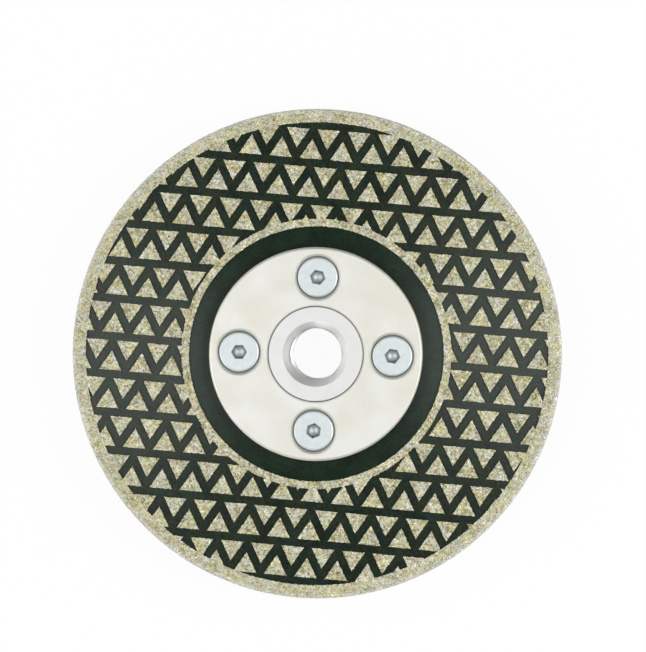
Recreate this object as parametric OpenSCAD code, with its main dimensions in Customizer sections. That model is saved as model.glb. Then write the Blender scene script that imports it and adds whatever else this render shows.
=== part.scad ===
// Diamond grinding wheel for an angle grinder spindle.
// A painted steel core, plated with grit on both faces, is clamped between a front plate and a threaded hub.
// Millimetres, +Z up. The wheel axis is Z, and the hub's rear end face lies on z = 0 with the front face up.

/* [Wheel] */
// Outer diameter, over the grit on the rim
wheel_d = 115; // [100:1:125]
// Thickness of the steel core
core_t = 2; // [1.5:0.1:3]
// Thickness of the plated grit
grit_t = 0.5; // [0.3:0.05:0.8]
// Rounding of the core's outer edge under the grit
core_edge_r = 0.3; // [0.1:0.05:0.6]

/* [Grit pattern] */
// Width of the solid grit band on each face of the rim
rim_band_w = 3.3; // [2.5:0.1:6]
// Inner diameter of the solid grit ring round the bare zone
ring_d = 59.7; // [58:0.1:66]
// Width of that ring
ring_w = 1.9; // [1:0.1:4]
// Distance from one bare bar to the next
row_pitch = 8.9; // [8:0.05:12]
// Distance from one triangle to the next along a row
column_pitch = 7.14; // [6.5:0.02:9]
// Side of a grit triangle
triangle_side = 5.55; // [4:0.05:6]
// Width of the bare bar between two rows
bar_w = 1.78; // [1:0.02:2.5]
// Turn of the rows against the cross of the screws, anticlockwise as seen
pattern_turn = -3.4; // [-30:0.1:30]
// Shift of the triangles along their rows
pattern_shift = 2; // [-3:0.1:3]

/* [Clamp plate] */
// Diameter of the front clamp plate, and of the hub's flange behind the core
plate_d = 50; // [48:0.5:56]
// Thickness of the front clamp plate
plate_t = 3; // [3:0.1:5]
// Chamfer on the plate's front outer edge
plate_chamfer = 0.4; // [0.1:0.1:0.6]

/* [Hub] */
// Diameter of the pilot that centres the core and the plate
pilot_d = 22.2; // [20:0.1:23]
// Depth of the pilot's end below the plate's front face
pilot_sink = 0.1; // [0:0.05:0.5]
// Chamfer on the pilot's end and on the plate's bore round it
pilot_chamfer = 0.15; // [0.05:0.05:0.4]
// Thickness of the rear flange
flange_t = 6; // [5:0.5:10]
// Chamfer on the flange's rear edge
flange_chamfer = 0.8; // [0.2:0.1:2]
// Diameter of the boss that seats on the spindle shoulder
boss_d = 26; // [25:0.5:30]
// Height of the boss
boss_h = 6; // [4:0.5:14]
// Chamfer on the boss end
boss_chamfer = 0.5; // [0.2:0.1:1]
// Distance across the two wrench flats on the boss
wrench_af = 22; // [20:0.5:24]
// Minor diameter of the spindle thread
thread_minor_d = 12; // [10:0.1:13]
// Diameter of the chamfered mouth at each end of the thread
mouth_d = 15.3; // [14:0.1:17]

/* [Screws] */
// Thread diameter of the clamp screws
screw_d = 5; // [4:0.5:5]
// Overall length of a countersunk screw
screw_l = 10; // [8:1:12]
// Diameter of the screw heads
head_d = 9.5; // [8.5:0.1:10]
// Height of the straight rim of a head
head_land = 0.4; // [0.2:0.05:0.5]
// Depth of the heads below the plate's front face
head_sink = 0.25; // [0:0.05:0.3]
// Hexagon socket across flats
socket_af = 3; // [2.5:0.5:4]
// Depth of the socket's straight walls
socket_depth = 1.8; // [1:0.1:2]

/* [Clearances] */
// Radial clearance of the pilot in the core and in the plate
pilot_gap = 0.015; // [0.01:0.005:0.1]
// Radial clearance of the screws in the plate's and the core's holes
shank_gap = 0.25; // [0.1:0.05:0.4]
// Radial clearance of the screws in the tapped holes
tapped_gap = 0.05; // [0.02:0.01:0.1]
// Radial clearance of the screw heads in their countersinks
seat_gap = 0.05; // [0.02:0.01:0.1]

/* [Hidden] */
$fn = 180;
// Overlap that lets a cut run clear of the faces it starts from
cut = 1;
// Least depth of a clipped triangle that is still drawn
least_tooth = 0.2;

// Heights of the stack, from the hub's rear end to the plate's front face
flange_z = boss_h;
core_z = flange_z + flange_t;
plate_z = core_z + core_t;
front_z = plate_z + plate_t;

wheel_r = wheel_d / 2;
core_r = wheel_r - grit_t;
field_r = wheel_r - rim_band_w;
ring_r = ring_d / 2;
ring_out_r = ring_r + ring_w;
pilot_r = pilot_d / 2;
pilot_hole_r = pilot_r + pilot_gap;
plate_r = plate_d / 2;
flange_r = plate_r;
boss_r = boss_d / 2;
bore_r = thread_minor_d / 2;
mouth_r = mouth_d / 2;
screw_r = screw_d / 2;
shank_hole_r = screw_r + shank_gap;
head_r = head_d / 2;
// The screws stand in the middle of the plate's flat front face, between its two chamfers
screw_circle_r = (pilot_hole_r + pilot_chamfer + plate_r - plate_chamfer) / 2;
// The countersink's radius at the plate's front face: its 45 degree wall passes under the head's rim
sink_r = head_r + seat_gap + head_land + head_sink;
head_z = front_z - head_sink;
tip_chamfer = screw_r / 4;
triangle_h = triangle_side * sqrt(3) / 2;

paint = [0.16, 0.21, 0.18];
grit = [0.74, 0.73, 0.62];
satin = [0.90, 0.89, 0.86];
turned = [0.92, 0.92, 0.91];
zinc = [0.85, 0.89, 0.91];

// Each screw's place on the circle, and its socket's angle as it was tightened
SCREWS = ["right", "top", "left", "bottom"];
socket_turns = [-8, -11, 1, 22];

// Corners of the triangle that stands on the row's lower edge (dir 1) or hangs from its upper edge (dir -1)
function triangle(row, u, dir) =
    let (v = dir > 0 ? row * row_pitch + bar_w / 2 : (row + 1) * row_pitch - bar_w / 2)
    [[u - triangle_side / 2, v], [u + triangle_side / 2, v], [u, v + dir * triangle_h]];

// Distance from the axis to the segment from a to b, and to the nearest and furthest points of a triangle
function segment_r(a, b) =
    let (d = b - a, t = max(0, min(1, -(a * d) / (d * d))))
    norm(a + t * d);
function near_r(corners) = min([for (i = [0:2]) segment_r(corners[i], corners[(i + 1) % 3])]);
function far_r(corners) = max([for (p = corners) norm(p)]);

// All triangles of a row that could reach the grit field
reach = ceil(wheel_r / column_pitch) + 1;
function row_triangles(row) = [
    for (half_step = [-2 * reach:2 * reach])
        triangle(row, pattern_shift + half_step * column_pitch / 2, half_step % 2 == 0 ? 1 : -1)
];

// A row's whole pads, and the triangles that the rim band or the inner ring cuts
function pads(row) = [for (t = row_triangles(row)) if (far_r(t) <= field_r && near_r(t) >= ring_out_r) t];
function rim_teeth(row) = [
    for (t = row_triangles(row)) if (far_r(t) > field_r && near_r(t) < field_r - least_tooth) t
];
function ring_teeth(row) = [
    for (t = row_triangles(row)) if (near_r(t) < ring_out_r && far_r(t) > ring_out_r + least_tooth) t
];

half_rows = ceil(field_r / row_pitch);
all_rows = [-half_rows:half_rows - 1];
pad_rows = [for (row = all_rows) if (len(pads(row)) > 0) row];

function two_digits(n) = str(n < 10 ? "0" : "", n);
function row_node(face, i) = str(face, "_grit_row_", two_digits(i + 1));

// Puts a copy at each screw
module at_screws() {
    for (i = [0:len(SCREWS) - 1])
        rotate([0, 0, i * 360 / len(SCREWS)])
            translate([screw_circle_r, 0, 0])
                children();
}

// Stands children on the core's front or rear face, with their own +Z pointing away from the core
module on_face(face) {
    translate([0, 0, core_z + core_t / 2])
        rotate([face == "front" ? 0 : 180, 0, 0])
            translate([0, 0, core_t / 2])
                children();
}

// Half section of a flat disc with a round outer edge, centred on its mid plane
module disc_section(in_r, out_r, thick, edge_r) {
    translate([in_r, -thick / 2])
        square([out_r - edge_r - in_r, thick]);
    translate([in_r, edge_r - thick / 2])
        square([out_r - in_r, thick - 2 * edge_r]);
    for (side = [-1, 1])
        translate([out_r - edge_r, side * (thick / 2 - edge_r)])
            circle(edge_r);
}

// Grit triangles of a plate's thickness, turned to the rows' angle
module grit_pads(triangles) {
    rotate([0, 0, pattern_turn])
        for (t = triangles)
            linear_extrude(grit_t)
                polygon(t);
}

// Painted steel disc with the pilot's bore and four screw holes
module steel_core() {
    color(paint)
        difference() {
            translate([0, 0, core_z + core_t / 2])
                rotate_extrude()
                    disc_section(pilot_hole_r, core_r, core_t, core_edge_r);
            at_screws()
                translate([0, 0, core_z - cut])
                    cylinder(r = shank_hole_r, h = core_t + 2 * cut);
        }
}

// Half section of the hub: boss, flange and pilot round the thread's plain bore
module hub_section() {
    pilot_z = front_z - pilot_sink;
    mouth_h = mouth_r - bore_r;
    polygon([
        [mouth_r, 0],
        [boss_r - boss_chamfer, 0],
        [boss_r, boss_chamfer],
        [boss_r, flange_z],
        [flange_r - flange_chamfer, flange_z],
        [flange_r, flange_z + flange_chamfer],
        [flange_r, core_z],
        [pilot_r, core_z],
        [pilot_r, pilot_z - pilot_chamfer],
        [pilot_r - pilot_chamfer, pilot_z],
        [mouth_r, pilot_z],
        [bore_r, pilot_z - mouth_h],
        [bore_r, mouth_h],
    ]);
}

// Threaded hub with two wrench flats on the boss and four tapped holes in the flange
module threaded_hub() {
    color(turned)
        difference() {
            rotate_extrude()
                hub_section();
            for (side = [-1, 1])
                translate([-boss_r, side > 0 ? wrench_af / 2 : -wrench_af / 2 - boss_r, -cut])
                    cube([boss_d, boss_r, boss_h + cut]);
            at_screws()
                translate([0, 0, flange_z - cut])
                    cylinder(r = screw_r + tapped_gap, h = flange_t + 2 * cut);
        }
}

// Front clamp plate with its countersinks
module front_plate() {
    color(satin)
        difference() {
            rotate_extrude()
                polygon([
                    [pilot_hole_r, plate_z],
                    [plate_r, plate_z],
                    [plate_r, front_z - plate_chamfer],
                    [plate_r - plate_chamfer, front_z],
                    [pilot_hole_r + pilot_chamfer, front_z],
                    [pilot_hole_r, front_z - pilot_chamfer],
                ]);
            at_screws()
                rotate_extrude()
                    polygon([
                        [0, plate_z - cut],
                        [shank_hole_r, plate_z - cut],
                        [shank_hole_r, front_z - sink_r + shank_hole_r],
                        [sink_r + cut, front_z + cut],
                        [0, front_z + cut],
                    ]);
        }
}

// Countersunk screw with a hexagon socket that ends in a drilled cone
module clamp_screw(i) {
    cone_z = head_z - head_land;
    tip_z = head_z - screw_l;
    color(zinc)
        rotate([0, 0, i * 360 / len(SCREWS)])
            translate([screw_circle_r, 0, 0])
                difference() {
                    rotate_extrude()
                        polygon([
                            [0, tip_z],
                            [screw_r - tip_chamfer, tip_z],
                            [screw_r, tip_z + tip_chamfer],
                            [screw_r, cone_z - head_r + screw_r],
                            [head_r, cone_z],
                            [head_r, head_z],
                            [0, head_z],
                        ]);
                    translate([0, 0, head_z - socket_depth])
                        rotate([0, 0, socket_turns[i] - i * 360 / len(SCREWS)])
                            cylinder(d = socket_af / cos(30), h = socket_depth + cut, $fn = 6);
                    translate([0, 0, head_z - socket_depth - socket_af / 4])
                        cylinder(r1 = 0, r2 = socket_af / 2, h = socket_af / 4);
                }
}

// Plated coat over the rim's two faces and its edge, with the triangles that run into it
module rim_grit() {
    color(grit)
        union() {
            translate([0, 0, core_z + core_t / 2])
                rotate_extrude()
                    difference() {
                        disc_section(field_r, wheel_r, core_t + 2 * grit_t, core_edge_r + grit_t);
                        disc_section(0, core_r, core_t, core_edge_r);
                    }
            for (face = ["front", "rear"])
                on_face(face)
                    intersection() {
                        cylinder(r = field_r + (rim_band_w - core_edge_r - grit_t) / 2, h = grit_t);
                        union()
                            for (row = all_rows)
                                grit_pads(rim_teeth(row));
                    }
        }
}

// Solid ring round the bare zone, with the triangles that run into it
module grit_ring(face) {
    color(grit)
        on_face(face)
            difference() {
                union() {
                    cylinder(r = ring_out_r, h = grit_t);
                    for (row = all_rows)
                        grit_pads(ring_teeth(row));
                }
                translate([0, 0, -cut])
                    cylinder(r = ring_r, h = grit_t + 2 * cut);
            }
}

// The separate pads of one row
module grit_row(face, row) {
    color(grit)
        on_face(face)
            grit_pads(pads(row));
}

steel_core();
threaded_hub();
front_plate();
for (i = [0:len(SCREWS) - 1])
    clamp_screw(i);
rim_grit();
for (face = ["front", "rear"])
    grit_ring(face);
for (face = ["front", "rear"])
    for (i = [0:len(pad_rows) - 1])
        grit_row(face, pad_rows[i]);
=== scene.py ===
import math

import bmesh
import bpy
import numpy as np
from mathutils import Matrix, Vector
from mathutils.geometry import delaunay_2d_cdt
from mathutils.kdtree import KDTree


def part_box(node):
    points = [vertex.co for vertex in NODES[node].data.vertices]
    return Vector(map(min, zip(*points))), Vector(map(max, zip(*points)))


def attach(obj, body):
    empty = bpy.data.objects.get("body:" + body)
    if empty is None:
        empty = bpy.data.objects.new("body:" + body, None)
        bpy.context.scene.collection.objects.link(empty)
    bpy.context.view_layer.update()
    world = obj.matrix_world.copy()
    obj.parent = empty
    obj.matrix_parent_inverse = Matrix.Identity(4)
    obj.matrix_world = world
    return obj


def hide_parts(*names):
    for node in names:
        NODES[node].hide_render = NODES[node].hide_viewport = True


# Looks of the diamond grinding wheel, in metres. It lies flat, with its front face up.
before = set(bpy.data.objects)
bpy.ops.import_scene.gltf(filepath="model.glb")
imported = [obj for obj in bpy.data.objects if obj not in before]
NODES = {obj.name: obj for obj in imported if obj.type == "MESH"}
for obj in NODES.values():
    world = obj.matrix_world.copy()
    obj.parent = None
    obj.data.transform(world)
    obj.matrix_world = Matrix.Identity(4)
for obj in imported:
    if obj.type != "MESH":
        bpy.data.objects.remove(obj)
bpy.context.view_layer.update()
MM = 0.001
RANDOM = np.random.default_rng(seed=115)

# Sizes from the frame's boxes
WHEEL_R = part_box("rim_grit")[1].x
CORE_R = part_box("steel_core")[1].x
CORE_REAR_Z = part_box("steel_core")[0].z
CORE_FRONT_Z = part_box("steel_core")[1].z
PLATE_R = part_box("front_plate")[1].x
PLATE_FRONT_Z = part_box("front_plate")[1].z
PILOT_FRONT_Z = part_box("threaded_hub")[1].z
HEAD_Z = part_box("clamp_screw_right")[1].z
TIP_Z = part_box("clamp_screw_right")[0].z

# Sizes that the boxes don't give, as the solids have them
BARE_R = 29.85 * MM
PLATE_CHAMFER = 0.4 * MM
SINK_R = 5.45 * MM
SHANK_HOLE_R = 2.75 * MM
PILOT_HOLE_R = 11.115 * MM
PILOT_R = 11.1 * MM
BORE_R = 6 * MM
MOUTH_R = 7.65 * MM
FLANGE_Z = 6 * MM
FLANGE_CHAMFER = 0.8 * MM
BOSS_R = 13 * MM
BOSS_CHAMFER = 0.5 * MM
WRENCH_HALF = 11 * MM
TAPPED_R = 2.55 * MM
SCREW_R = 2.5 * MM
HEAD_R = 4.75 * MM
HEAD_LAND = 0.4 * MM
SOCKET_AF = 3 * MM
SOCKET_DEPTH = 1.8 * MM

# The screws, and how far each one's socket is turned in degrees
SOCKET_TURNS = {"right": -8, "top": -11, "left": 1, "bottom": 22}


# Meshes

# Points closer than this become one
WELD = 0.001 * MM
# Flat covers start from triangles over the whole hull. Their tolerance is in millimetres
WHOLE_HULL = 0
COVER_TOLERANCE = 1e-6
# Edges sharper than this stay sharp on a smooth piece
SHARP_ANGLE = math.radians(40)
# A rounded corner has so many steps, and takes at most one part in so many of each side
EASE_STEPS = 3
EASE_PARTS = 2.5
# One turn of a thread, as shares of its pitch and of its depth
THREAD_CREST = 0.25
THREAD_FLANK = 0.3125
THREAD_ROOT = 0.125
THREAD_STEPS = (
    (0, 0),
    (THREAD_CREST, 0),
    (THREAD_CREST + THREAD_FLANK / 2, 0.5),
    (THREAD_CREST + THREAD_FLANK, 1),
    (THREAD_CREST + THREAD_FLANK + THREAD_ROOT, 1),
    (1 - THREAD_FLANK / 2, 0.5),
)


def flat(vector):
    """The first two coordinates."""
    return (vector[0], vector[1])


class Shell:
    """One closed mesh in the making. Each point has a painted shade value from 0, unshaded, to 1, a
    crevice painted dark as shade.
    """

    def __init__(self):
        self.points = []
        self.painted_shade = []
        self.faces = []

    def loop(self, points, painted_shade=0.0):
        """Adds points and returns their numbers. The painted shade may be a function of the height."""
        first = len(self.points)
        self.points.extend(points)
        self.painted_shade.extend(painted_shade(p[2]) if callable(painted_shade) else painted_shade for p in points)
        return list(range(first, len(self.points)))

    def band(self, one, other):
        """Quads between two closed loops of as many points."""
        count = len(one)
        for i in range(count):
            j = (i + 1) % count
            self.faces.append((one[i], one[j], other[j], other[i]))

    def fan(self, loop, point, painted_shade=0.0):
        """Triangles from a closed loop to one point."""
        tip = self.loop([point], painted_shade)[0]
        for i in range(len(loop)):
            self.faces.append((loop[i], loop[(i + 1) % len(loop)], tip))

    def cover(self, loops, extra=()):
        """Flat triangles over the area inside the loops, through the extra points."""
        numbers = [n for loop in loops for n in loop] + list(extra)
        place = {n: i for i, n in enumerate(numbers)}
        spots = [Vector(flat(self.points[n])) / MM for n in numbers]
        edges = [(place[a], place[b]) for loop in loops for a, b in zip(loop, loop[1:] + loop[:1])]
        found = delaunay_2d_cdt(spots, edges, [], WHOLE_HULL, COVER_TOLERANCE)
        _, _, faces, sources, _, _ = found
        origin = [numbers[source[0]] for source in sources]
        triangles = np.array([[origin[i] for i in face] for face in faces])
        flat_points = np.array([flat(p) for p in self.points])
        kept = inside(flat_points[triangles].mean(1), [flat_points[loop] for loop in loops])
        self.faces.extend(tuple(int(n) for n in t) for t in triangles[kept])

    def piece(self, name, material, replaced, smooth=False):
        """Welds the shell into an object that stands for CAD nodes and rides on the wheel."""
        mesh = bpy.data.meshes.new(name)
        mesh.from_pydata(self.points, [], self.faces)
        attribute = mesh.attributes.new("painted_shade", "FLOAT", "POINT")
        attribute.data.foreach_set("value", self.painted_shade)
        work = bmesh.new()
        work.from_mesh(mesh)
        bmesh.ops.remove_doubles(work, verts=work.verts, dist=WELD)
        bmesh.ops.dissolve_degenerate(work, edges=work.edges, dist=WELD)
        bmesh.ops.recalc_face_normals(work, faces=work.faces)
        work.to_mesh(mesh)
        work.free()
        if smooth:
            mesh.shade_smooth()
            mesh.set_sharp_from_angle(angle=SHARP_ANGLE)
        mesh.materials.append(material)
        made = bpy.data.objects.new(name, mesh)
        bpy.context.scene.collection.objects.link(made)
        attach(made, "root")
        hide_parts(*replaced)
        return made


def inside(spots, loops):
    """Which 2-D spots lie inside the loops, by the even-odd rule."""
    x, y = spots[:, 0], spots[:, 1]
    odd = np.zeros(len(spots), bool)
    for loop in loops:
        for (ax, ay), (bx, by) in zip(loop, np.roll(loop, -1, axis=0)):
            if ay != by:
                odd ^= ((ay > y) != (by > y)) & (x < (bx - ax) * (y - ay) / (by - ay) + ax)
    return odd


def angles(count, extra=()):
    """Evenly spread angles of a full turn, with any extra ones, in radians."""
    return sorted([math.tau * i / count for i in range(count)] + [angle % math.tau for angle in extra])


def ring(radius, z, turn, centre=(0, 0)):
    """Points of a circle at the given angles. The radius may be a function of the angle."""
    points = []
    for angle in turn:
        r = radius(angle) if callable(radius) else radius
        points.append((centre[0] + r * math.cos(angle), centre[1] + r * math.sin(angle), z))
    return points


def eased(profile, radius):
    """A profile of (radius, height, painted shade) corners, with each inner corner rounded to the given
    radius.
    """
    made = [profile[0]]
    for before, corner, after in zip(profile, profile[1:], profile[2:]):
        here = Vector(corner[:2])
        back = Vector(before[:2]) - here
        ahead = Vector(after[:2]) - here
        reach = min(radius, back.length / EASE_PARTS, ahead.length / EASE_PARTS)
        start = here + back.normalized() * reach
        end = here + ahead.normalized() * reach
        for i in range(EASE_STEPS + 1):
            t = i / EASE_STEPS
            p = start * (1 - t) ** 2 + here * 2 * t * (1 - t) + end * t ** 2
            made.append((p.x, p.y, corner[2]))
    return made + [profile[-1]]


def lathe(shell, profile, turn, centre=(0, 0), limit=None):
    """Turns a profile of (radius, height, painted shade) about an upright axis, and returns its first and
    last loop. limit is a function of the angle that caps the radius."""
    loops = []
    for r, z, painted_shade in profile:
        radius = (lambda angle, r=r: min(r, limit(angle))) if limit else r
        loops.append(shell.loop(ring(radius, z, turn, centre), painted_shade))
    for one, other in zip(loops, loops[1:]):
        shell.band(one, other)
    return loops[0], loops[-1]


def thread_wall(shell, turn, low, high, pitch, crest, root, cone, centre=(0, 0), painted_shade=0.0):
    """A helical thread between two heights, as rows of points that climb with the helix.
    crest and root are radii, and cone(z, r) gives the radius where an end's chamfer cuts the thread."""
    starts = range(-1, math.ceil((high - low) / pitch) + 1)
    rows = [(start + phase, depth) for start in starts for phase, depth in THREAD_STEPS]
    loops = []
    for lift, depth in rows:
        points = []
        for angle in turn:
            z = min(high, max(low, low + (lift + angle / math.tau) * pitch))
            r = cone(z, crest + (root - crest) * depth)
            points.append((centre[0] + r * math.cos(angle), centre[1] + r * math.sin(angle), z))
        loops.append(shell.loop(points, painted_shade))
    for one, other in zip(loops, loops[1:]):
        for i in range(len(turn) - 1):
            shell.faces.append((one[i], one[i + 1], other[i + 1], other[i]))
    above = loops[len(THREAD_STEPS):]
    for one, other, next_one, next_other in zip(loops, loops[1:], above, above[1:]):
        shell.faces.append((one[-1], next_one[0], next_other[0], other[-1]))


# Materials

# Paint: sizes of its patterns, colours at stops of the mottle, and tints that multiply them
PAINT_MARKS = 0.12 * MM
PAINT_CLOUD = 5 * MM
PAINT_PEEL = 0.6 * MM
PAINT_TINT_SIZE = 2.4 * MM
PAINT_COLOURS = [(0.40, (0.0012, 0.0076, 0.0020)), (0.60, (0.0138, 0.0264, 0.0127))]
PAINT_TINTS = [(0.38, (0.62, 1.0, 1.28)), (0.62, (1.42, 0.98, 0.80))]
PAINT_ROUGHNESS = (0.42, 0.60)
PAINT_BUMP = 0.004 * MM
# The bare zone's tint, and the width over which it fades out
BARE_TINT = (0.35, 0.85, 0.65)
BARE_FADE = 1 * MM

# Grit: sizes of its patterns, colours at stops of the shade, and tints that multiply them
GRIT_CLUMP = 0.52 * MM
GRIT_CLOUD = 3.4 * MM
GRIT_CLOUD_RANGE = (-0.25, 0.25)
GRIT_COLOURS = [
    (0.10, (0.213, 0.194, 0.100)),
    (0.27, (0.369, 0.347, 0.213)),
    (0.45, (0.485, 0.469, 0.320)),
    (0.62, (0.539, 0.526, 0.389)),
    (0.88, (0.698, 0.685, 0.560)),
]
GRIT_YELLOW_SIZE = 1.9 * MM
GRIT_YELLOWS = [(0.36, (1.015, 0.985, 0.81)), (0.64, (0.980, 0.990, 1.11))]
GRIT_ROSE_SIZE = 1.5 * MM
GRIT_ROSES = [(0.36, (0.960, 1.012, 0.99)), (0.64, (1.020, 0.985, 1.01))]
GRIT_ROUGHNESS = (0.30, 0.62)
GRIT_FINE = 0.09 * MM
GRIT_BUMP = 0.012 * MM

# Towards the rim the shade keeps less of its contrast about the middle, and the outer edge is painted
# pale: a painted reflection of the white surround on its rounding
GRIT_MIDDLE = 0.48
RIM_CONTRAST = 0.78
RIM_CONTRAST_SPAN = (52 * MM, 55 * MM)
RIM_PAINTED_LIGHT = 0.55
RIM_PAINTED_LIGHT_SPAN = (WHEEL_R - 1.3 * MM, WHEEL_R - 0.2 * MM)
RIM_PAINTED_LIGHT_COLOUR = (0.63, 0.62, 0.60)

# Metals: fine pattern, height of the marks, their greys and share, and how the painted shade dulls the
# gloss
METAL_FINE = 0.2 * MM
METAL_BUMP = 0.003 * MM
MARK_GREYS = [(0.3, (0.62, 0.62, 0.62)), (0.7, (1.0, 1.0, 1.0))]
MARK_SHARE = 0.1
SHADE_DULLING = 1.2
DULLEST = 0.8


def rgba(colour):
    """A colour with its alpha, or a socket as it is."""
    return colour if isinstance(colour, bpy.types.NodeSocket) else (*colour, 1)


class Nodes:
    """The node tree of a material or a world in the making: short calls that add and join nodes."""

    def __init__(self, owner):
        self.owner = owner
        owner.use_nodes = True
        self.tree = owner.node_tree

    def add(self, kind, inputs=None, **settings):
        """A new node with its settings, and with values or sockets at its inputs."""
        node = self.tree.nodes.new(kind)
        for key, value in settings.items():
            setattr(node, key, value)
        for key, value in (inputs or {}).items():
            self.put(node.inputs[key], value)
        return node

    def put(self, socket, value):
        """Joins a socket to an input, or sets the input to a value."""
        if isinstance(value, bpy.types.NodeSocket):
            self.tree.links.new(value, socket)
        else:
            socket.default_value = value

    def math(self, operation, *values):
        return self.add("ShaderNodeMath", dict(enumerate(values)), operation=operation).outputs[0]

    def weighted(self, *terms):
        """The sum of two values, each times its weight."""
        return self.math("ADD", *(self.math("MULTIPLY", value, weight) for value, weight in terms))

    def scaled(self, value, low, high):
        """A 0 to 1 value spread from low to high."""
        return self.math("MULTIPLY_ADD", value, high - low, low)

    def ranged(self, value, span, levels):
        """A value that goes from the first level to the second over a span, and stays there outside it."""
        inputs = {"Value": value, "From Min": span[0], "From Max": span[1]}
        inputs.update({"To Min": levels[0], "To Max": levels[1]})
        return self.add("ShaderNodeMapRange", inputs).outputs[0]

    def place(self):
        return self.add("ShaderNodeTexCoord").outputs["Object"]

    def attribute(self, name):
        return self.add("ShaderNodeAttribute", attribute_name=name).outputs["Fac"]

    def noise(self, vector, size, detail=3.0):
        """Noise whose lumps are about the given size in metres."""
        inputs = {"Vector": vector, "Scale": 1 / size, "Detail": detail}
        return self.add("ShaderNodeTexNoise", inputs).outputs["Fac"]

    def cells(self, vector, size):
        """A random value for each cell of about the given size."""
        inputs = {"Vector": vector, "Scale": 1 / size}
        colour = self.add("ShaderNodeTexVoronoi", inputs).outputs["Color"]
        return self.add("ShaderNodeSeparateColor", {"Color": colour}).outputs[0]

    def radius(self, vector):
        """Distance from the wheel's axis."""
        split = self.add("ShaderNodeSeparateXYZ", {"Vector": vector})
        x, y = split.outputs["X"], split.outputs["Y"]
        return self.math("SQRT", self.weighted((x, x), (y, y)))

    def turned(self, vector, width):
        """Noise in circles about the wheel's axis, like the marks of turning or grinding."""
        split = self.add("ShaderNodeSeparateXYZ", {"Vector": vector})
        angle = self.math("ARCTAN2", split.outputs["Y"], split.outputs["X"])
        around = self.math("ABSOLUTE", self.math("MULTIPLY", angle, 2 * width))
        inputs = {"X": self.radius(vector), "Y": around, "Z": split.outputs["Z"]}
        return self.noise(self.add("ShaderNodeCombineXYZ", inputs).outputs[0], width, detail=2.0)

    def ramp(self, value, stops):
        """Colours between stops of (position, colour)."""
        node = self.add("ShaderNodeValToRGB", {"Fac": value})
        elements = node.color_ramp.elements
        while len(elements) < len(stops):
            elements.new(position=0.5)
        for element, (position, colour) in zip(elements, stops):
            element.position = position
            element.color = rgba(colour)
        return node.outputs["Color"]

    def mix(self, share, one, other, blend="MIX"):
        """One colour, with a share of another mixed in."""
        inputs = {"Factor": share, "A": rgba(one), "B": rgba(other)}
        return self.add("ShaderNodeMix", inputs, data_type="RGBA", blend_type=blend).outputs["Result"]

    def tinted(self, colour, tint):
        return self.mix(1.0, colour, tint, "MULTIPLY")

    def bump(self, height, distance):
        return self.add("ShaderNodeBump", {"Height": height, "Distance": distance}).outputs["Normal"]

    def finish(self, **sockets):
        """Fills the shader's inputs, named with _ for a space, and returns the material."""
        shader = self.tree.nodes["Principled BSDF"]
        for key, value in sockets.items():
            self.put(shader.inputs[key.replace("_", " ")], value)
        return self.owner


def paint_material():
    """Thin green-black paint over a circularly ground disc, which gives it a two-lobed sheen.
    It is darker on the bare zone inside the grit."""
    nodes = Nodes(bpy.data.materials.new("green_black_paint"))
    place = nodes.place()
    marks = nodes.turned(place, PAINT_MARKS)
    cloud = nodes.noise(place, PAINT_CLOUD)
    peel = nodes.noise(place, PAINT_PEEL)
    colour = nodes.ramp(nodes.weighted((cloud, 0.4), (peel, 0.6)), PAINT_COLOURS)
    colour = nodes.tinted(colour, nodes.ramp(nodes.noise(place, PAINT_TINT_SIZE), PAINT_TINTS))
    bare = nodes.ranged(nodes.radius(place), (BARE_R, BARE_R + BARE_FADE), (1.0, 0.0))
    colour = nodes.mix(bare, colour, nodes.tinted(colour, BARE_TINT))
    roughness = nodes.scaled(nodes.weighted((marks, 0.6), (peel, 0.4)), *PAINT_ROUGHNESS)
    normal = nodes.bump(nodes.weighted((marks, 1.0), (peel, 0.5)), PAINT_BUMP)
    tangent = nodes.add("ShaderNodeTangent", direction_type="RADIAL", axis="Z").outputs[0]
    return nodes.finish(Base_Color=colour, Roughness=roughness, Normal=normal, Tangent=tangent,
                        Anisotropic=0.85, Anisotropic_Rotation=0.25, Specular_IOR_Level=0.44)


def grit_material():
    """Diamond grains in nickel plating: beige and khaki, with cream, olive and brown grains among them.
    The rim is calmer than the pads, and its edge is painted paler, a painted reflection of the white
    surround on its rounding."""
    nodes = Nodes(bpy.data.materials.new("plated_diamond_grit"))
    place = nodes.place()
    radius = nodes.radius(place)
    grain = nodes.attribute("grain")
    speckle = nodes.weighted((nodes.cells(place, GRIT_CLUMP), 0.60), (grain, 0.36))
    cloud = nodes.scaled(nodes.noise(place, GRIT_CLOUD, detail=2.0), *GRIT_CLOUD_RANGE)
    contrast = nodes.ranged(radius, RIM_CONTRAST_SPAN, (1.0, RIM_CONTRAST))
    offset = nodes.math("SUBTRACT", nodes.math("ADD", speckle, cloud), GRIT_MIDDLE)
    colour = nodes.ramp(nodes.math("MULTIPLY_ADD", offset, contrast, GRIT_MIDDLE), GRIT_COLOURS)
    for size, tints in ((GRIT_YELLOW_SIZE, GRIT_YELLOWS), (GRIT_ROSE_SIZE, GRIT_ROSES)):
        colour = nodes.tinted(colour, nodes.ramp(nodes.noise(place, size, detail=2.0), tints))
    # Painted reflection: the rim's outer edge is mixed towards a pale grey
    colour = nodes.mix(nodes.ranged(radius, RIM_PAINTED_LIGHT_SPAN, (0.0, RIM_PAINTED_LIGHT)), colour, RIM_PAINTED_LIGHT_COLOUR)
    roughness = nodes.scaled(grain, *GRIT_ROUGHNESS)
    normal = nodes.bump(nodes.noise(place, GRIT_FINE), GRIT_BUMP)
    return nodes.finish(Base_Color=colour, Roughness=roughness, Normal=normal, Metallic=0.35)


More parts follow.
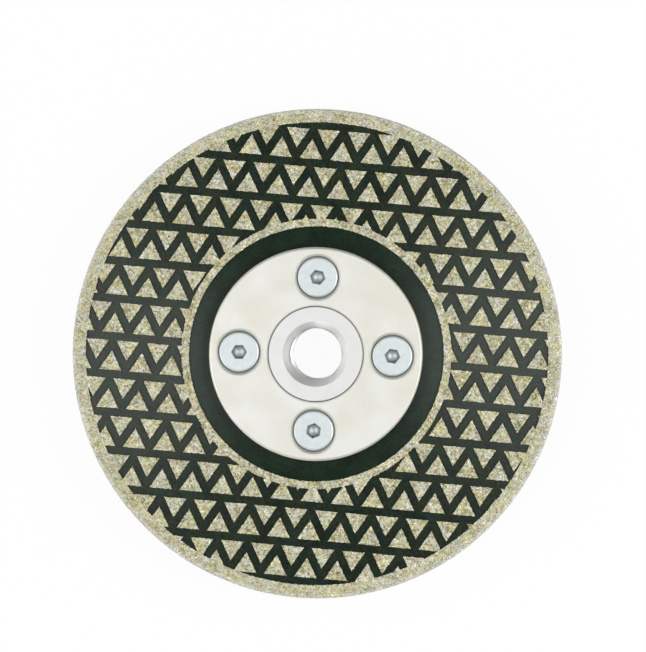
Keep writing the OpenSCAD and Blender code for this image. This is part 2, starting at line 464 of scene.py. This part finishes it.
def metal_material(name, tones, cloud_size, marks_width, roughness, painted_shade_colour):
    """Plated steel: a clouded tone, circular marks in gloss and height, and painted shade in crevices,
    gaps and on some edges, which also dulls the gloss there.
    """
    nodes = Nodes(bpy.data.materials.new(name))
    place = nodes.place()
    marks = nodes.turned(place, marks_width)
    fine = nodes.noise(place, METAL_FINE)
    painted_shade = nodes.attribute("painted_shade")
    tone = nodes.ramp(nodes.noise(place, cloud_size, detail=4.0), tones)
    tone = nodes.mix(MARK_SHARE, tone, nodes.ramp(marks, MARK_GREYS), "MULTIPLY")
    # Painted shade: each point's value darkens the tone towards the shade colour
    colour = nodes.mix(painted_shade, tone, painted_shade_colour)
    clean = nodes.scaled(nodes.weighted((marks, 0.5), (fine, 0.5)), *roughness)
    dulled = nodes.math("MULTIPLY_ADD", painted_shade, SHADE_DULLING, clean)
    normal = nodes.bump(nodes.weighted((marks, 1.0), (fine, 0.6)), METAL_BUMP)
    return nodes.finish(Base_Color=colour, Roughness=nodes.math("MINIMUM", dulled, DULLEST),
                        Normal=normal, Metallic=1.0)


PAINT = paint_material()
GRIT = grit_material()
SATIN = metal_material(
    "satin_plated_steel",
    tones=[(0.35, (0.850, 0.834, 0.748)), (0.65, (0.910, 0.908, 0.862))],
    cloud_size=9 * MM,
    marks_width=0.10 * MM,
    roughness=(0.34, 0.50),
    painted_shade_colour=(0.035, 0.034, 0.030),
)
TURNED = metal_material(
    "turned_plated_steel",
    tones=[(0.3, (0.88, 0.88, 0.867)), (0.7, (0.93, 0.93, 0.917))],
    cloud_size=5 * MM,
    marks_width=0.08 * MM,
    roughness=(0.26, 0.42),
    painted_shade_colour=(0.035, 0.035, 0.034),
)
ZINC = metal_material(
    "bluish_zinc",
    tones=[(0.3, (0.765, 0.835, 0.838)), (0.7, (0.84, 0.905, 0.908))],
    cloud_size=1.5 * MM,
    marks_width=0.15 * MM,
    roughness=(0.28, 0.42),
    painted_shade_colour=(0.052, 0.072, 0.066),
)


# Plated grit

# Distance between grains
GRAIN = 0.3 * MM
# Shares of it: from row to row, how far grains stray on a face and on the edge, and how clear they stay
GRAIN_ROW = math.sqrt(0.75)
GRAIN_STRAY = 0.36
EDGE_STRAY = 0.3
GRAIN_CLEAR = 0.62
# How far a peak or a valley may lie below the coat's full height, and the share of peaks
PEAK_DROP = 0.05 * MM
VALLEY_DROP = 0.17 * MM
PEAK_SHARE = 0.45
# How far even the highest grains of the edge stay inside the wheel's outline
EDGE_DROP = 0.02 * MM
# How far an outline is drawn in at random
RAGGED = (0, 0.15 * MM)
# How far it is cut at a corner whose sine is above this one, and the share of that cut beside the corner
CORNER_CUT = 0.5 * MM
CORNER_SINE = 0.7
CORNER_BESIDE = 0.4
# Outlines nearer than this that face each other, by this cosine, move at most a share of their distance
NARROW = 1.1 * MM
NARROW_FACING = 0.6
NARROW_SHARE = 0.3
# Steps of the rim's rounding between a face and the edge
ROUNDING_STEPS = 4


def top_loops(node, up):
    """The outlines of a grit node's top face, as loops of 2-D points.
    up is 1 on the front face and -1 on the rear."""
    work = bmesh.new()
    work.from_mesh(NODES[node].data)
    bmesh.ops.remove_doubles(work, verts=work.verts, dist=WELD)
    top = max(v.co.z * up for v in work.verts)
    level = [f for f in work.faces if all(top - v.co.z * up < WELD for v in f.verts)]
    members = set(level)
    follow = {}
    for face in level:
        for corner in face.loops:
            if not any(other in members for other in corner.edge.link_faces if other is not face):
                follow[corner.vert] = corner.link_loop_next.vert
    loops = []
    while follow:
        vert = next(iter(follow))
        loop = []
        while vert in follow:
            loop.append(flat(vert.co))
            vert = follow.pop(vert)
        loops.append(np.array(loop))
    work.free()
    return loops


def point_tree(spots):
    """A search tree over 2-D spots."""
    tree = KDTree(len(spots))
    for i, (x, y) in enumerate(spots):
        tree.insert((x, y, 0), i)
    tree.balance()
    return tree


def outline(loop, up):
    """A point for each grain along a loop, the way inwards there, and how far it is drawn in:
    at random, and more at a sharp outer corner, to round it off."""
    spots = []
    for a, b in zip(loop, np.roll(loop, -1, axis=0)):
        count = max(1, round(np.linalg.norm(b - a) / GRAIN))
        spots.extend(a + (b - a) * i / count for i in range(count))
    spots = np.array(spots)
    before = spots - np.roll(spots, 1, axis=0)
    after = np.roll(spots, -1, axis=0) - spots
    along = before + after
    inward = up * np.stack([-along[:, 1], along[:, 0]], 1)
    inward /= np.linalg.norm(inward, axis=1)[:, None]
    lengths = np.linalg.norm(before, axis=1) * np.linalg.norm(after, axis=1)
    sine = up * (before[:, 0] * after[:, 1] - before[:, 1] * after[:, 0]) / lengths
    corner = 1.0 * (sine > CORNER_SINE)
    cut = corner + CORNER_BESIDE * (np.roll(corner, 1) + np.roll(corner, -1))
    depth = RANDOM.uniform(*RAGGED, len(spots)) + CORNER_CUT * cut
    return spots, inward, depth


def ragged(loops, up):
    """Loops with grain-sized, uneven outlines, which stay clear of each other where the coat is narrow."""
    outlines = [outline(loop, up) for loop in loops]
    tree = point_tree(np.concatenate([spots for spots, _, _ in outlines]))
    made = []
    for spots, inward, depth in outlines:
        moved = []
        for spot, way, reach in zip(spots, inward, depth):
            for place, _, distance in tree.find_range((*spot, 0), NARROW):
                if np.dot(np.array(flat(place)) - spot, way) > NARROW_FACING * distance > 0:
                    reach = min(reach, NARROW_SHARE * distance)
            moved.append(spot + way * reach)
        made.append(np.array(moved))
    return made


def grain_spots(loops):
    """Places of single grains inside the loops, in rows that stray a little, clear of the outlines."""
    low = np.min([loop.min(0) for loop in loops], axis=0)
    high = np.max([loop.max(0) for loop in loops], axis=0)
    columns = int((high[0] - low[0]) / GRAIN) + 2
    rows = int((high[1] - low[1]) / GRAIN / GRAIN_ROW) + 2
    column, row = np.meshgrid(np.arange(columns), np.arange(rows))
    spots = np.stack([(column + 0.5 * (row % 2)) * GRAIN, row * GRAIN * GRAIN_ROW], -1).reshape(-1, 2)
    spots = low + spots + RANDOM.uniform(-GRAIN_STRAY, GRAIN_STRAY, spots.shape) * GRAIN
    farthest = max(np.linalg.norm(loop, axis=1).max() for loop in loops)
    spots = spots[np.linalg.norm(spots, axis=1) < farthest]
    spots = spots[inside(spots, loops)]
    tree = point_tree(np.concatenate(loops))
    clear = [tree.find((x, y, 0))[2] > GRAIN_CLEAR * GRAIN for x, y in spots]
    return spots[clear]


def grain_drop(count):
    """How far each of so many points lies below the coat's full height: a peak or a valley."""
    peak = RANDOM.uniform(0, PEAK_DROP, count)
    valley = RANDOM.uniform(PEAK_DROP, VALLEY_DROP, count)
    return np.where(RANDOM.random(count) < PEAK_SHARE, peak, valley)


def at_height(spots, heights):
    """2-D spots as points at one height or at a height each."""
    return [(x, y, z) for (x, y), z in zip(spots, np.broadcast_to(heights, len(spots)))]


def coat(shell, loops, up, face_z, top_z, level_loop=None):
    """A grain-covered coat on one face of the core: its top, its sides and its underside.
    level_loop is a loop that gets no side. The last loop's top and bottom numbers are returned."""
    tops = []
    feet = []
    for loop in loops:
        heights = top_z - up * (grain_drop(len(loop)) + RANDOM.uniform(0, PEAK_DROP, len(loop)))
        top = shell.loop(at_height(loop, heights))
        foot = shell.loop(at_height(loop, face_z))
        tops.append(top)
        feet.append(foot)
        if loop is not level_loop:
            shell.band(foot, top)
    spots = grain_spots(loops)
    extra = shell.loop(at_height(spots, top_z - up * grain_drop(len(spots))))
    shell.cover(tops, extra)
    shell.cover(feet)
    return tops[-1], feet[-1]


def grained(made):
    """Gives each facet of a coat its own random value, which sets its shade and gloss."""
    attribute = made.data.attributes.new("grain", "FLOAT", "FACE")
    attribute.data.foreach_set("value", RANDOM.random(len(made.data.polygons)))


def grit_piece(node, up):
    """The pads or the ring of one grit node."""
    shell = Shell()
    face_z = CORE_FRONT_Z if up > 0 else CORE_REAR_Z
    top_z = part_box(node)[1].z if up > 0 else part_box(node)[0].z
    loops = top_loops(node, up)
    groups = [loops] if "ring" in node else [[loop] for loop in loops]
    for group in groups:
        coat(shell, ragged(group, up), up, face_z, top_z)
    grained(shell.piece(node.replace("grit", "grains"), GRIT, [node]))


def edge_rows(level_r, low_z, high_z):
    """Rows of grains round the rim's edge from front to rear, as (radius, height, slope).
    The slope is the angle by which the surface leans away from the front."""
    rounding = WHEEL_R - level_r
    wall_high = high_z - rounding
    wall_low = low_z + rounding
    arc = [math.pi / 2 * i / ROUNDING_STEPS for i in range(1, ROUNDING_STEPS + 1)]
    steps = round((wall_high - wall_low) / GRAIN)
    rows = []
    for slope in arc:
        r = level_r + rounding * math.sin(slope)
        rows.append((r, high_z - rounding * (1 - math.cos(slope)), slope))
    for i in range(1, steps):
        rows.append((WHEEL_R, wall_high + (wall_low - wall_high) * i / steps, math.pi / 2))
    for slope in reversed(arc):
        r = level_r + rounding * math.sin(slope)
        rows.append((r, low_z + rounding * (1 - math.cos(slope)), math.pi - slope))
    return rows


def rim_piece():
    """The coat over the rim: both faces with their teeth, joined round the edge."""
    shell = Shell()
    rim_low, rim_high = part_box("rim_grit")
    ends = []
    for up, face_z, top_z in ((1, CORE_FRONT_Z, rim_high.z), (-1, CORE_REAR_Z, rim_low.z)):
        loops = top_loops("rim_grit", up)
        loops.sort(key=lambda loop: np.linalg.norm(loop, axis=1).max())
        level_r = np.linalg.norm(loops[-1], axis=1).max()
        turn = angles(round(math.tau * level_r / GRAIN))
        outer = np.array([flat(p) for p in ring(level_r, 0, turn)])
        ends.append(coat(shell, ragged(loops[:-1], up) + [outer], up, face_z, top_z, outer))
    # Both faces end at the same radius, so level_r and turn hold for the edge too
    (front_top, front_foot), (rear_top, rear_foot) = ends
    last = front_top
    for row, (r, z, slope) in enumerate(edge_rows(level_r, rim_low.z, rim_high.z)):
        drops = grain_drop(len(turn))
        strays = RANDOM.uniform(-EDGE_STRAY, EDGE_STRAY, len(turn)) + 0.5 * (row % 2)
        points = []
        for angle, drop, stray in zip(turn, drops, strays):
            angle += stray * math.tau / len(turn)
            reach = r - EDGE_DROP - drop * math.sin(slope)
            points.append((reach * math.cos(angle), reach * math.sin(angle), z - drop * math.cos(slope)))
        here = shell.loop(points)
        shell.band(last, here)
        last = here
    shell.band(last, rear_top)
    rounding = WHEEL_R - level_r
    inner = [shell.loop(ring(CORE_R, z, turn)) for z in (rim_high.z - rounding, rim_low.z + rounding)]
    for one, other in zip([front_foot] + inner, inner + [rear_foot]):
        shell.band(one, other)
    grained(shell.piece("rim_grains", GRIT, ["rim_grit"]))


# Plate, hub and screws

# Points round each turned form
PLATE_POINTS = 256
SINK_POINTS = 96
HUB_POINTS = 240
TAPPED_POINTS = 64
SCREW_POINTS = 96
DRILL_POINTS = 36

# How far edges are rounded. A screw head's edge is cut first
EDGE_EASE = 0.15 * MM
BOSS_EASE = 0.12 * MM
HOLE_EASE = 0.05 * MM
GAP_EASE = 0.04 * MM
HEAD_EDGE = 0.3 * MM
HEAD_EASE = HEAD_EDGE / 2

# How far a turned form runs on over a face before the flat cover starts
FACE_MARGIN = 0.6 * MM
FOOT_MARGIN = 0.5 * MM
PILOT_MARGIN = 0.4 * MM
HEAD_MARGIN = 2.5 * HEAD_EDGE

# The gap between plate and pilot, whose walls are painted dark as shade: how far each gives way, how deep,
# and where the gap closes
PLATE_GAP = 0.07 * MM
PLATE_GAP_DEPTH = 0.3 * MM
PILOT_GAP = 0.06 * MM
PILOT_GAP_DEPTH = 0.25 * MM
GAP_FOOT = 0.7 * MM

# How far painted shade reaches out from a countersink and down its wall, and from the feet of boss and
# flange
SINK_LIP = 0.25 * MM
SINK_WALL = 0.3 * MM
BOSS_FOOT = 1 * MM
FLANGE_FOOT = 0.8 * MM

# Thread sizes, with the length over which the spindle thread reaches its full depth
SPINDLE_PITCH = 2 * MM
SPINDLE_DEPTH = 1.08 * MM
SPINDLE_RUN_IN = 2.5 * MM
SCREW_PITCH = 0.8 * MM
SCREW_DEPTH = 0.43 * MM
TAPPED_CHAMFER = 0.3 * MM
TIP_CHAMFER = SCREW_R / 4
NECK_LENGTH = 0.2 * MM

# Painted shade on the bore's chamfers, from just inside their edge
BORE_PAINTED_SHADE = 0.07
BORE_SHADE_EDGE = 0.15 * MM

# Heights of a screw, from the foot of its head's land down to the top of its thread
CONE_Z = HEAD_Z - HEAD_LAND
NECK_Z = CONE_Z - HEAD_R + SCREW_R
THREAD_TOP_Z = NECK_Z - NECK_LENGTH

# Profiles, as corners of (radius, height, painted shade). Crevices, gaps, feet and chamfers are painted
# darker as shade
PLATE_OUTSIDE = (
    # The foot and the outer chamfer carry painted shade; on the chamfer it dims the glint
    (PLATE_R - FOOT_MARGIN, CORE_FRONT_Z, 0),
    (PLATE_R, CORE_FRONT_Z, 0.5),
    (PLATE_R, PLATE_FRONT_Z - PLATE_CHAMFER, 0.25),
    (PLATE_R - PLATE_CHAMFER, PLATE_FRONT_Z, 0.12),
    (PLATE_R - 2 * PLATE_CHAMFER, PLATE_FRONT_Z, 0),
)
PLATE_BORE = (
    (PILOT_HOLE_R + FACE_MARGIN, PLATE_FRONT_Z, 0),
    (PILOT_HOLE_R + PLATE_GAP, PLATE_FRONT_Z, 0.35),
    (PILOT_HOLE_R + PLATE_GAP, PLATE_FRONT_Z - PLATE_GAP_DEPTH, 1),
    (PILOT_HOLE_R, PLATE_FRONT_Z - GAP_FOOT, 1),
    (PILOT_HOLE_R, CORE_FRONT_Z, 1),
    (PILOT_HOLE_R + FOOT_MARGIN, CORE_FRONT_Z, 1),
)
PLATE_SINK = (
    (SINK_R + FACE_MARGIN, PLATE_FRONT_Z, 0),
    (SINK_R + SINK_LIP, PLATE_FRONT_Z, 0.06),
    (SINK_R, PLATE_FRONT_Z, 0.18),
    (SINK_R - SINK_WALL, PLATE_FRONT_Z - SINK_WALL, 0.26),
    (HEAD_R, PLATE_FRONT_Z - SINK_R + HEAD_R, 0.75),
    (SHANK_HOLE_R, PLATE_FRONT_Z - SINK_R + SHANK_HOLE_R, 1),
    (SHANK_HOLE_R, CORE_FRONT_Z, 1),
)
HUB_BOSS = (
    (MOUTH_R, 0, 0),
    (BOSS_R - BOSS_CHAMFER, 0, 0),
    (BOSS_R, BOSS_CHAMFER, 0.05),
    (BOSS_R, FLANGE_Z - BOSS_FOOT, 0.15),
    (BOSS_R, FLANGE_Z, 0.55),
)
HUB_FLANGE = (
    (PLATE_R - FLANGE_CHAMFER - FACE_MARGIN, FLANGE_Z, 0),
    (PLATE_R - FLANGE_CHAMFER, FLANGE_Z, 0),
    (PLATE_R, FLANGE_Z + FLANGE_CHAMFER, 0.05),
    (PLATE_R, CORE_REAR_Z - FLANGE_FOOT, 0.15),
    (PLATE_R, CORE_REAR_Z, 0.5),
    (PLATE_R - FOOT_MARGIN, CORE_REAR_Z, 0.4),
)
HUB_PILOT = (
    (PILOT_R, CORE_REAR_Z, 1),
    (PILOT_R, PILOT_FRONT_Z - GAP_FOOT, 1),
    (PILOT_R - PILOT_GAP, PILOT_FRONT_Z - PILOT_GAP_DEPTH, 1),
    (PILOT_R - PILOT_GAP, PILOT_FRONT_Z, 0.35),
    (PILOT_R - PILOT_MARGIN, PILOT_FRONT_Z, 0),
    (MOUTH_R, PILOT_FRONT_Z, 0),
)
HUB_TAPPED = (
    (TAPPED_R + TAPPED_CHAMFER, FLANGE_Z, 0),
    (TAPPED_R, FLANGE_Z + TAPPED_CHAMFER, 0.3),
    (TAPPED_R, CORE_REAR_Z, 1),
)
SCREW_HEAD = (
    (SCREW_R, THREAD_TOP_Z, 1),
    (SCREW_R, NECK_Z, 1),
    (HEAD_R, CONE_Z, 1),
    (HEAD_R, HEAD_Z - HEAD_EDGE, 0.55),
    (HEAD_R - HEAD_EDGE, HEAD_Z, 0.16),
    (HEAD_R - HEAD_MARGIN, HEAD_Z, 0),
)

# A socket from its chamfered mouth to its bottom, as (width across flats, depth, painted shade)
SOCKET_STEPS = (
    (SOCKET_AF + 0.3 * MM, 0, 0),
    (SOCKET_AF, 0.15 * MM, 0.45),
    (SOCKET_AF - 0.2 * MM, SOCKET_DEPTH / 2, 0.6),
    (SOCKET_AF - 0.3 * MM, SOCKET_DEPTH, 0.6),
)

# The drilled bottom of a socket, as (radius, depth below the socket, painted shade), and its tip
DRILL_STEPS = (
    (SOCKET_AF * 0.42, 0, 0.38),
    (SOCKET_AF * 0.22, SOCKET_AF * 0.06, 0.13),
)
DRILL_TIP_DEPTH = SOCKET_AF * 0.12
DRILL_TIP_PAINTED_SHADE = 0.1


def screw_centre(name):
    """The middle of a screw, as the frame has it."""
    low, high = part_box("clamp_screw_" + name)
    return flat((low + high) / 2)


def plate_piece():
    """Front clamp plate with eased edges, a countersink for each screw and a gap round the pilot, with
    painted shade in the gap, the countersinks, at its foot and on its outer chamfer.
    """
    shell = Shell()
    turn = angles(PLATE_POINTS)
    outer_foot, outer_top = lathe(shell, eased(PLATE_OUTSIDE, EDGE_EASE), turn)
    inner_top, inner_foot = lathe(shell, eased(PLATE_BORE, GAP_EASE), turn)
    tops = [outer_top, inner_top]
    feet = [outer_foot, inner_foot]
    sink = eased(PLATE_SINK, HOLE_EASE)
    for name in SOCKET_TURNS:
        top, foot = lathe(shell, sink, angles(SINK_POINTS), screw_centre(name))
        tops.append(top)
        feet.append(foot)
    shell.cover(tops)
    shell.cover(feet)
    shell.piece("satin_plate", SATIN, ["front_plate"], smooth=True)


def wrench_flats(angle):
    """Distance from the axis to the boss's two flats, which is beyond the boss at the sides."""
    side = abs(math.sin(angle))
    return WRENCH_HALF / side if side else BOSS_R


def bore_radius(z, r):
    """The bore's chamfers at both ends, then a thread that reaches its full depth bit by bit."""
    depth = min(z, PILOT_FRONT_Z - z) - (MOUTH_R - BORE_R)
    if depth < 0:
        return BORE_R - depth
    return BORE_R + (r - BORE_R) * min(1, depth / SPINDLE_RUN_IN)


def bore_painted_shade(z):
    """Painted shade on the bore's chamfers, which thins out over the first turns of the thread."""
    depth = min(z, PILOT_FRONT_Z - z)
    thread_share = 1 + (MOUTH_R - BORE_R - depth) / SPINDLE_RUN_IN
    return BORE_PAINTED_SHADE * max(0, min(1, depth / BORE_SHADE_EDGE, thread_share))


def hub_piece():
    """Hub with eased edges, wrench flats, tapped holes and a real spindle thread."""
    shell = Shell()
    corner = math.asin(WRENCH_HALF / BOSS_R)
    turn = angles(HUB_POINTS, [corner, -corner, math.pi - corner, math.pi + corner])
    _, boss_top = lathe(shell, eased(HUB_BOSS, BOSS_EASE), turn, limit=wrench_flats)
    flange_rear, flange_front = lathe(shell, eased(HUB_FLANGE, EDGE_EASE), turn)
    pilot_foot, _ = lathe(shell, eased(HUB_PILOT, GAP_EASE), turn)
    rears = [flange_rear, boss_top]
    fronts = [flange_front, pilot_foot]
    hole = eased(HUB_TAPPED, HOLE_EASE)
    for name in SOCKET_TURNS:
        rear, front = lathe(shell, hole, angles(TAPPED_POINTS), screw_centre(name))
        rears.append(rear)
        fronts.append(front)
    shell.cover(rears)
    shell.cover(fronts)
    thread_wall(shell, turn, 0, PILOT_FRONT_Z, SPINDLE_PITCH, BORE_R, BORE_R + SPINDLE_DEPTH,
                bore_radius, painted_shade=bore_painted_shade)
    shell.piece("threaded_flange", TURNED, ["threaded_hub"], smooth=True)


def hexagon(across_flats, z, turn_deg, centre):
    """The corners of a hexagon."""
    corners = [math.radians(turn_deg) + math.tau * i / 6 for i in range(6)]
    return ring(across_flats / math.sqrt(3), z, corners, centre)


def screw_radius(z, r):
    """A plain neck at the top of the thread, and a chamfer at the screw's tip."""
    if z >= THREAD_TOP_Z - WELD:
        return SCREW_R
    return min(r, SCREW_R - TIP_CHAMFER + (z - TIP_Z))


def screw_piece(name):
    """Countersunk screw with a rounded rim and a hexagon socket, both darkened with painted shade, and a
    real thread.
    """
    shell = Shell()
    centre = screw_centre(name)
    turn = angles(SCREW_POINTS)
    _, face = lathe(shell, eased(SCREW_HEAD, HEAD_EASE), turn, centre)
    walls = []
    for width, depth, painted_shade in SOCKET_STEPS:
        corners = hexagon(width, HEAD_Z - depth, SOCKET_TURNS[name], centre)
        walls.append(shell.loop(corners, painted_shade))
    shell.cover([face, walls[0]])
    for one, other in zip(walls, walls[1:]):
        shell.band(one, other)
    bottom_z = HEAD_Z - SOCKET_DEPTH
    drill = []
    for radius, depth, painted_shade in DRILL_STEPS:
        drill.append(shell.loop(ring(radius, bottom_z - depth, angles(DRILL_POINTS), centre), painted_shade))
    shell.cover([walls[-1], drill[0]])
    shell.band(*drill)
    shell.fan(drill[1], (*centre, bottom_z - DRILL_TIP_DEPTH), DRILL_TIP_PAINTED_SHADE)
    thread_wall(shell, turn, TIP_Z, THREAD_TOP_Z, SCREW_PITCH, SCREW_R, SCREW_R - SCREW_DEPTH,
                screw_radius, centre)
    end = shell.loop(ring(SCREW_R - TIP_CHAMFER, TIP_Z, turn, centre))
    shell.fan(end, (*centre, TIP_Z))
    shell.piece("socket_screw_" + name, ZINC, ["clamp_screw_" + name], smooth=True)


# The object
NODES["steel_core"].data.materials.clear()
NODES["steel_core"].data.materials.append(PAINT)
plate_piece()
hub_piece()
for screw_name in SOCKET_TURNS:
    screw_piece(screw_name)
rim_piece()
for node_name in sorted(NODES):
    if "_grit_" in node_name:
        grit_piece(node_name, 1 if node_name.startswith("front") else -1)


# Floor, light and camera

# The floor's size and colour, how white it looks to the camera and, as a painted reflection, in the bore,
# and how white in other reflections
FLOOR_SIZE = 8
FLOOR_COLOUR = (0.9, 0.9, 0.9)
FLOOR_WHITE_SHARE = 0.94
FLOOR_MIRRORED_SHARE = 0.5

# The light that the world gives, how bright its dark side looks, and the slant at which it is darkest
WORLD_LIGHT = 0.45
WORLD_DARK_SIDE = 0.02
WORLD_DARK_REACH = 0.12
# How bright it looks low on the right in reflections, how far over it is darkest, and which way that is
WORLD_DARK_RIGHT = 0.05
WORLD_RIGHT_REACH = 0.8
WORLD_RIGHT_WAY = (0.92, 0.39, -1.5)

# Soft boxes: name, place, size and watts
SOFT_BOXES = (
    ("left_box", (-0.75, -0.15, 0.75), 0.9, 5.2),
    ("right_box", (0.75, 0.03, 0.75), 0.7, 6.6),
    ("low_box", (-0.25, -1.05, 0.28), 0.5, 1.2),
)

# The photograph's size and scale in pixels, and the camera's place, with its tilts and roll in degrees
PHOTO_SIZE = (646, 652)
PIXELS_PER_METRE = 4265
CAMERA_DISTANCE = 0.6
CAMERA_TARGET = (1.43 * MM, 6.57 * MM, 14 * MM)
CAMERA_TILT_RIGHT = 2.6
CAMERA_TILT_UP = 0.5
CAMERA_ROLL = -1.54


def seen_share(nodes, camera=1.0, mirrored=1.0):
    """A socket with the given shares for rays from the camera and for those of reflections and glass.
    It is 0 for the light that falls on things. The mirrored share may be a socket."""
    path = nodes.add("ShaderNodeLightPath").outputs
    seen = nodes.math("MULTIPLY", path["Is Camera Ray"], camera)
    for name in ("Is Glossy Ray", "Is Transmission Ray"):
        seen = nodes.math("MAXIMUM", seen, nodes.math("MULTIPLY", path[name], mirrored))
    return seen


def floor_material():
    """Pale floor that looks white to the camera. Under the bore it glows white in reflections, a painted
    reflection in the bore's wall; it looks grey in other reflections, and still takes the wheel's shadow."""
    nodes = Nodes(bpy.data.materials.new("pale_floor"))
    nodes.tree.nodes.clear()
    away = nodes.add("ShaderNodeVectorMath", {0: nodes.place()}, operation="LENGTH").outputs["Value"]
    # Painted reflection: near the axis the floor glows white to reflections, beyond the boss only half as
    # much
    mirrored = nodes.ranged(away, (MOUTH_R, BOSS_R), (FLOOR_WHITE_SHARE, FLOOR_MIRRORED_SHARE))
    plain = nodes.add("ShaderNodeBsdfDiffuse", {"Color": rgba(FLOOR_COLOUR)}).outputs[0]
    white = nodes.add("ShaderNodeEmission", {"Strength": 1}).outputs[0]
    share = seen_share(nodes, FLOOR_WHITE_SHARE, mirrored)
    mix = nodes.add("ShaderNodeMixShader", {"Fac": share, 1: plain, 2: white}).outputs[0]
    nodes.add("ShaderNodeOutputMaterial", {"Surface": mix})
    return nodes.owner


def add_floor():
    """A square floor that the wheel's boss rests on."""
    mesh = bpy.data.meshes.new("floor")
    half = FLOOR_SIZE / 2
    corners = [(-half, -half, 0), (half, -half, 0), (half, half, 0), (-half, half, 0)]
    mesh.from_pydata(corners, [], [(0, 1, 2, 3)])
    mesh.materials.append(floor_material())
    floor = bpy.data.objects.new("floor", mesh)
    bpy.context.scene.collection.objects.link(floor)


def add_world():
    """Even light from all round. The camera and reflections see it white, with a dark side halfway up at
    the wheel's top and bottom, as in a studio whose soft boxes stand left and right. In reflections it is
    also dark low on the right."""
    world = bpy.data.worlds.new("studio")
    nodes = Nodes(world)
    direction = nodes.add("ShaderNodeTexCoord").outputs["Generated"]
    split = nodes.add("ShaderNodeSeparateXYZ", {"Vector": direction}).outputs
    slant = nodes.math("POWER", nodes.math("MULTIPLY", split["Y"], split["Z"]), 2)
    side = nodes.ranged(slant, (0, WORLD_DARK_REACH), (1, WORLD_DARK_SIDE))
    ways = {0: direction, 1: WORLD_RIGHT_WAY}
    lean = nodes.add("ShaderNodeVectorMath", ways, operation="DOT_PRODUCT").outputs["Value"]
    right = nodes.ranged(lean, (0, WORLD_RIGHT_REACH), (1, WORLD_DARK_RIGHT))
    glossy = nodes.add("ShaderNodeLightPath").outputs["Is Glossy Ray"]
    mirrored = nodes.add("ShaderNodeMix", {"Factor": glossy, "A": 1, "B": right}).outputs["Result"]
    seen = nodes.math("MULTIPLY", side, mirrored)
    levels = {"Factor": seen_share(nodes), "A": WORLD_LIGHT, "B": seen}
    strength = nodes.add("ShaderNodeMix", levels).outputs["Result"]
    background = nodes.tree.nodes["Background"]
    nodes.put(background.inputs["Color"], (1, 1, 1, 1))
    nodes.put(background.inputs["Strength"], strength)
    bpy.context.scene.world = world


def add_lamp(name, place, size, watts):
    """A square soft box that faces the wheel."""
    light = bpy.data.lights.new(name, "AREA")
    light.size = size
    light.energy = watts
    lamp = bpy.data.objects.new(name, light)
    lamp.location = place
    way = Vector((0, 0, CORE_FRONT_Z)) - Vector(place)
    lamp.rotation_euler = way.to_track_quat("-Z", "Y").to_euler()
    bpy.context.scene.collection.objects.link(lamp)


def add_camera():
    """A long lens nearly straight above the wheel, as in the photograph."""
    back = Vector((math.sin(math.radians(CAMERA_TILT_RIGHT)), math.sin(math.radians(CAMERA_TILT_UP)), 0))
    back.z = math.sqrt(1 - back.length_squared)
    roll = math.radians(CAMERA_ROLL)
    right = Vector((math.sin(roll), math.cos(roll), 0)).cross(back).normalized()
    up = back.cross(right)
    data = bpy.data.cameras.new("camera")
    data.lens = data.sensor_width * PIXELS_PER_METRE * CAMERA_DISTANCE / max(PHOTO_SIZE)
    camera = bpy.data.objects.new("camera", data)
    turn = Matrix((right, up, back)).transposed().to_4x4()
    camera.matrix_world = Matrix.Translation(Vector(CAMERA_TARGET) + back * CAMERA_DISTANCE) @ turn
    bpy.context.scene.collection.objects.link(camera)
    bpy.context.scene.camera = camera


add_floor()
add_world()
for soft_box in SOFT_BOXES:
    add_lamp(*soft_box)
add_camera()
bpy.context.scene.view_settings.view_transform = "Standard"
